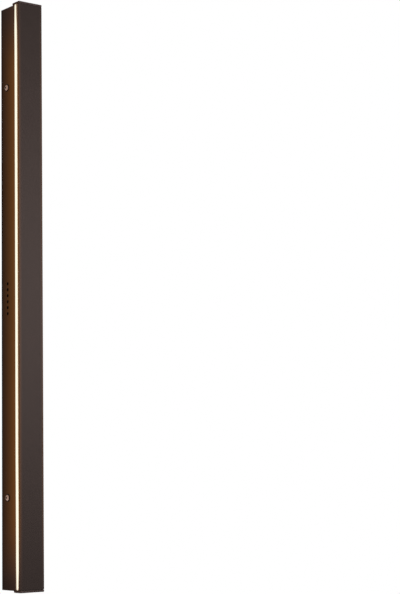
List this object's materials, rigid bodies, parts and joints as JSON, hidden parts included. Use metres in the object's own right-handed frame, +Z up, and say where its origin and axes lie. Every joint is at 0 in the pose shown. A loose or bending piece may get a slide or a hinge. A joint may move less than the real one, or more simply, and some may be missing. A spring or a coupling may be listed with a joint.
{
  "type": "outdoor wall light",
  "caption": "Long slim outdoor wall light: black aluminium bar with an opal light line along each side, held by two slotted wall brackets.",
  "frame": {"origin": "middle of the wall fixings, on the wall plane behind the light's middle", "axes": "+Z up along the light, +Y into the wall, -Y towards the viewer, +X to the right seen from the front"},
  "size_m": [0.0494, 0.061, 1],
  "materials": {
    "housing_black": "fine satin powder coat, charcoal black",
    "opal_warm": "opal acrylic, lit warm white",
    "bracket_steel": "zinc-plated sheet",
    "screw_steel": "stainless steel",
    "seal_rubber": "matt black",
    "board_white": "white solder mask",
    "chip_yellow": "phosphor",
    "driver_metal": "plain aluminium",
    "board_green": "green solder mask",
    "coil_yellow": "taped coil",
    "can_blue": "sleeve",
    "white_plastic": "moulded nylon",
    "brass": "plain brass",
    "lead_brown": "lead insulation",
    "lead_blue": "lead insulation",
    "lead_green": "lead insulation",
    "lead_red": "lead insulation",
    "cable_black": "cable sheath",
    "gland_black": "moulded nylon"
  },
  "bodies": {
    "wall_brackets": {"upper_bracket": "bracket_steel", "lower_bracket": "bracket_steel"},
    "luminaire": {"front_housing": "housing_black", "rear_housing": "housing_black", "front_cap_top": "housing_black", "front_cap_bottom": "housing_black", "front_gasket_top": "seal_rubber", "front_gasket_bottom": "seal_rubber", "front_cap_screws": "screw_steel", "rear_cap_top": "housing_black", "rear_cap_bottom": "housing_black", "rear_cap_screws": "screw_steel", "diffuser_left": "opal_warm", "diffuser_right": "opal_warm", "led_board_left": "board_white", "led_board_right": "board_white", "led_chips_left": "chip_yellow", "led_chips_right": "chip_yellow", "board_screws": "screw_steel", "joining_screws": "screw_steel", "driver_case": "driver_metal", "driver_lid": "driver_metal", "driver_board": "board_green", "driver_transformer": "coil_yellow", "driver_capacitors": "can_blue", "driver_screws": "screw_steel", "terminal_block": "white_plastic", "terminal_screws": "brass", "terminal_fixings": "screw_steel", "cord_clamp": "white_plastic", "clamp_screws": "screw_steel", "live_lead": "lead_brown", "neutral_lead": "lead_blue", "earth_lead": "lead_green", "earth_screw": "screw_steel", "led_cable": "cable_black", "led_leads": "lead_red", "gland_body": "gland_black", "gland_nut": "gland_black", "gland_seal": "seal_rubber", "side_screws": "screw_steel", "side_washers": "seal_rubber", "side_nuts": "screw_steel"}
  },
  "joints": [
    {"name": "pull_off", "type": "slide", "parent": "wall_brackets", "child": "luminaire", "axis": [0, -1, 0], "range_m": [0, 0.045]}
  ]
}
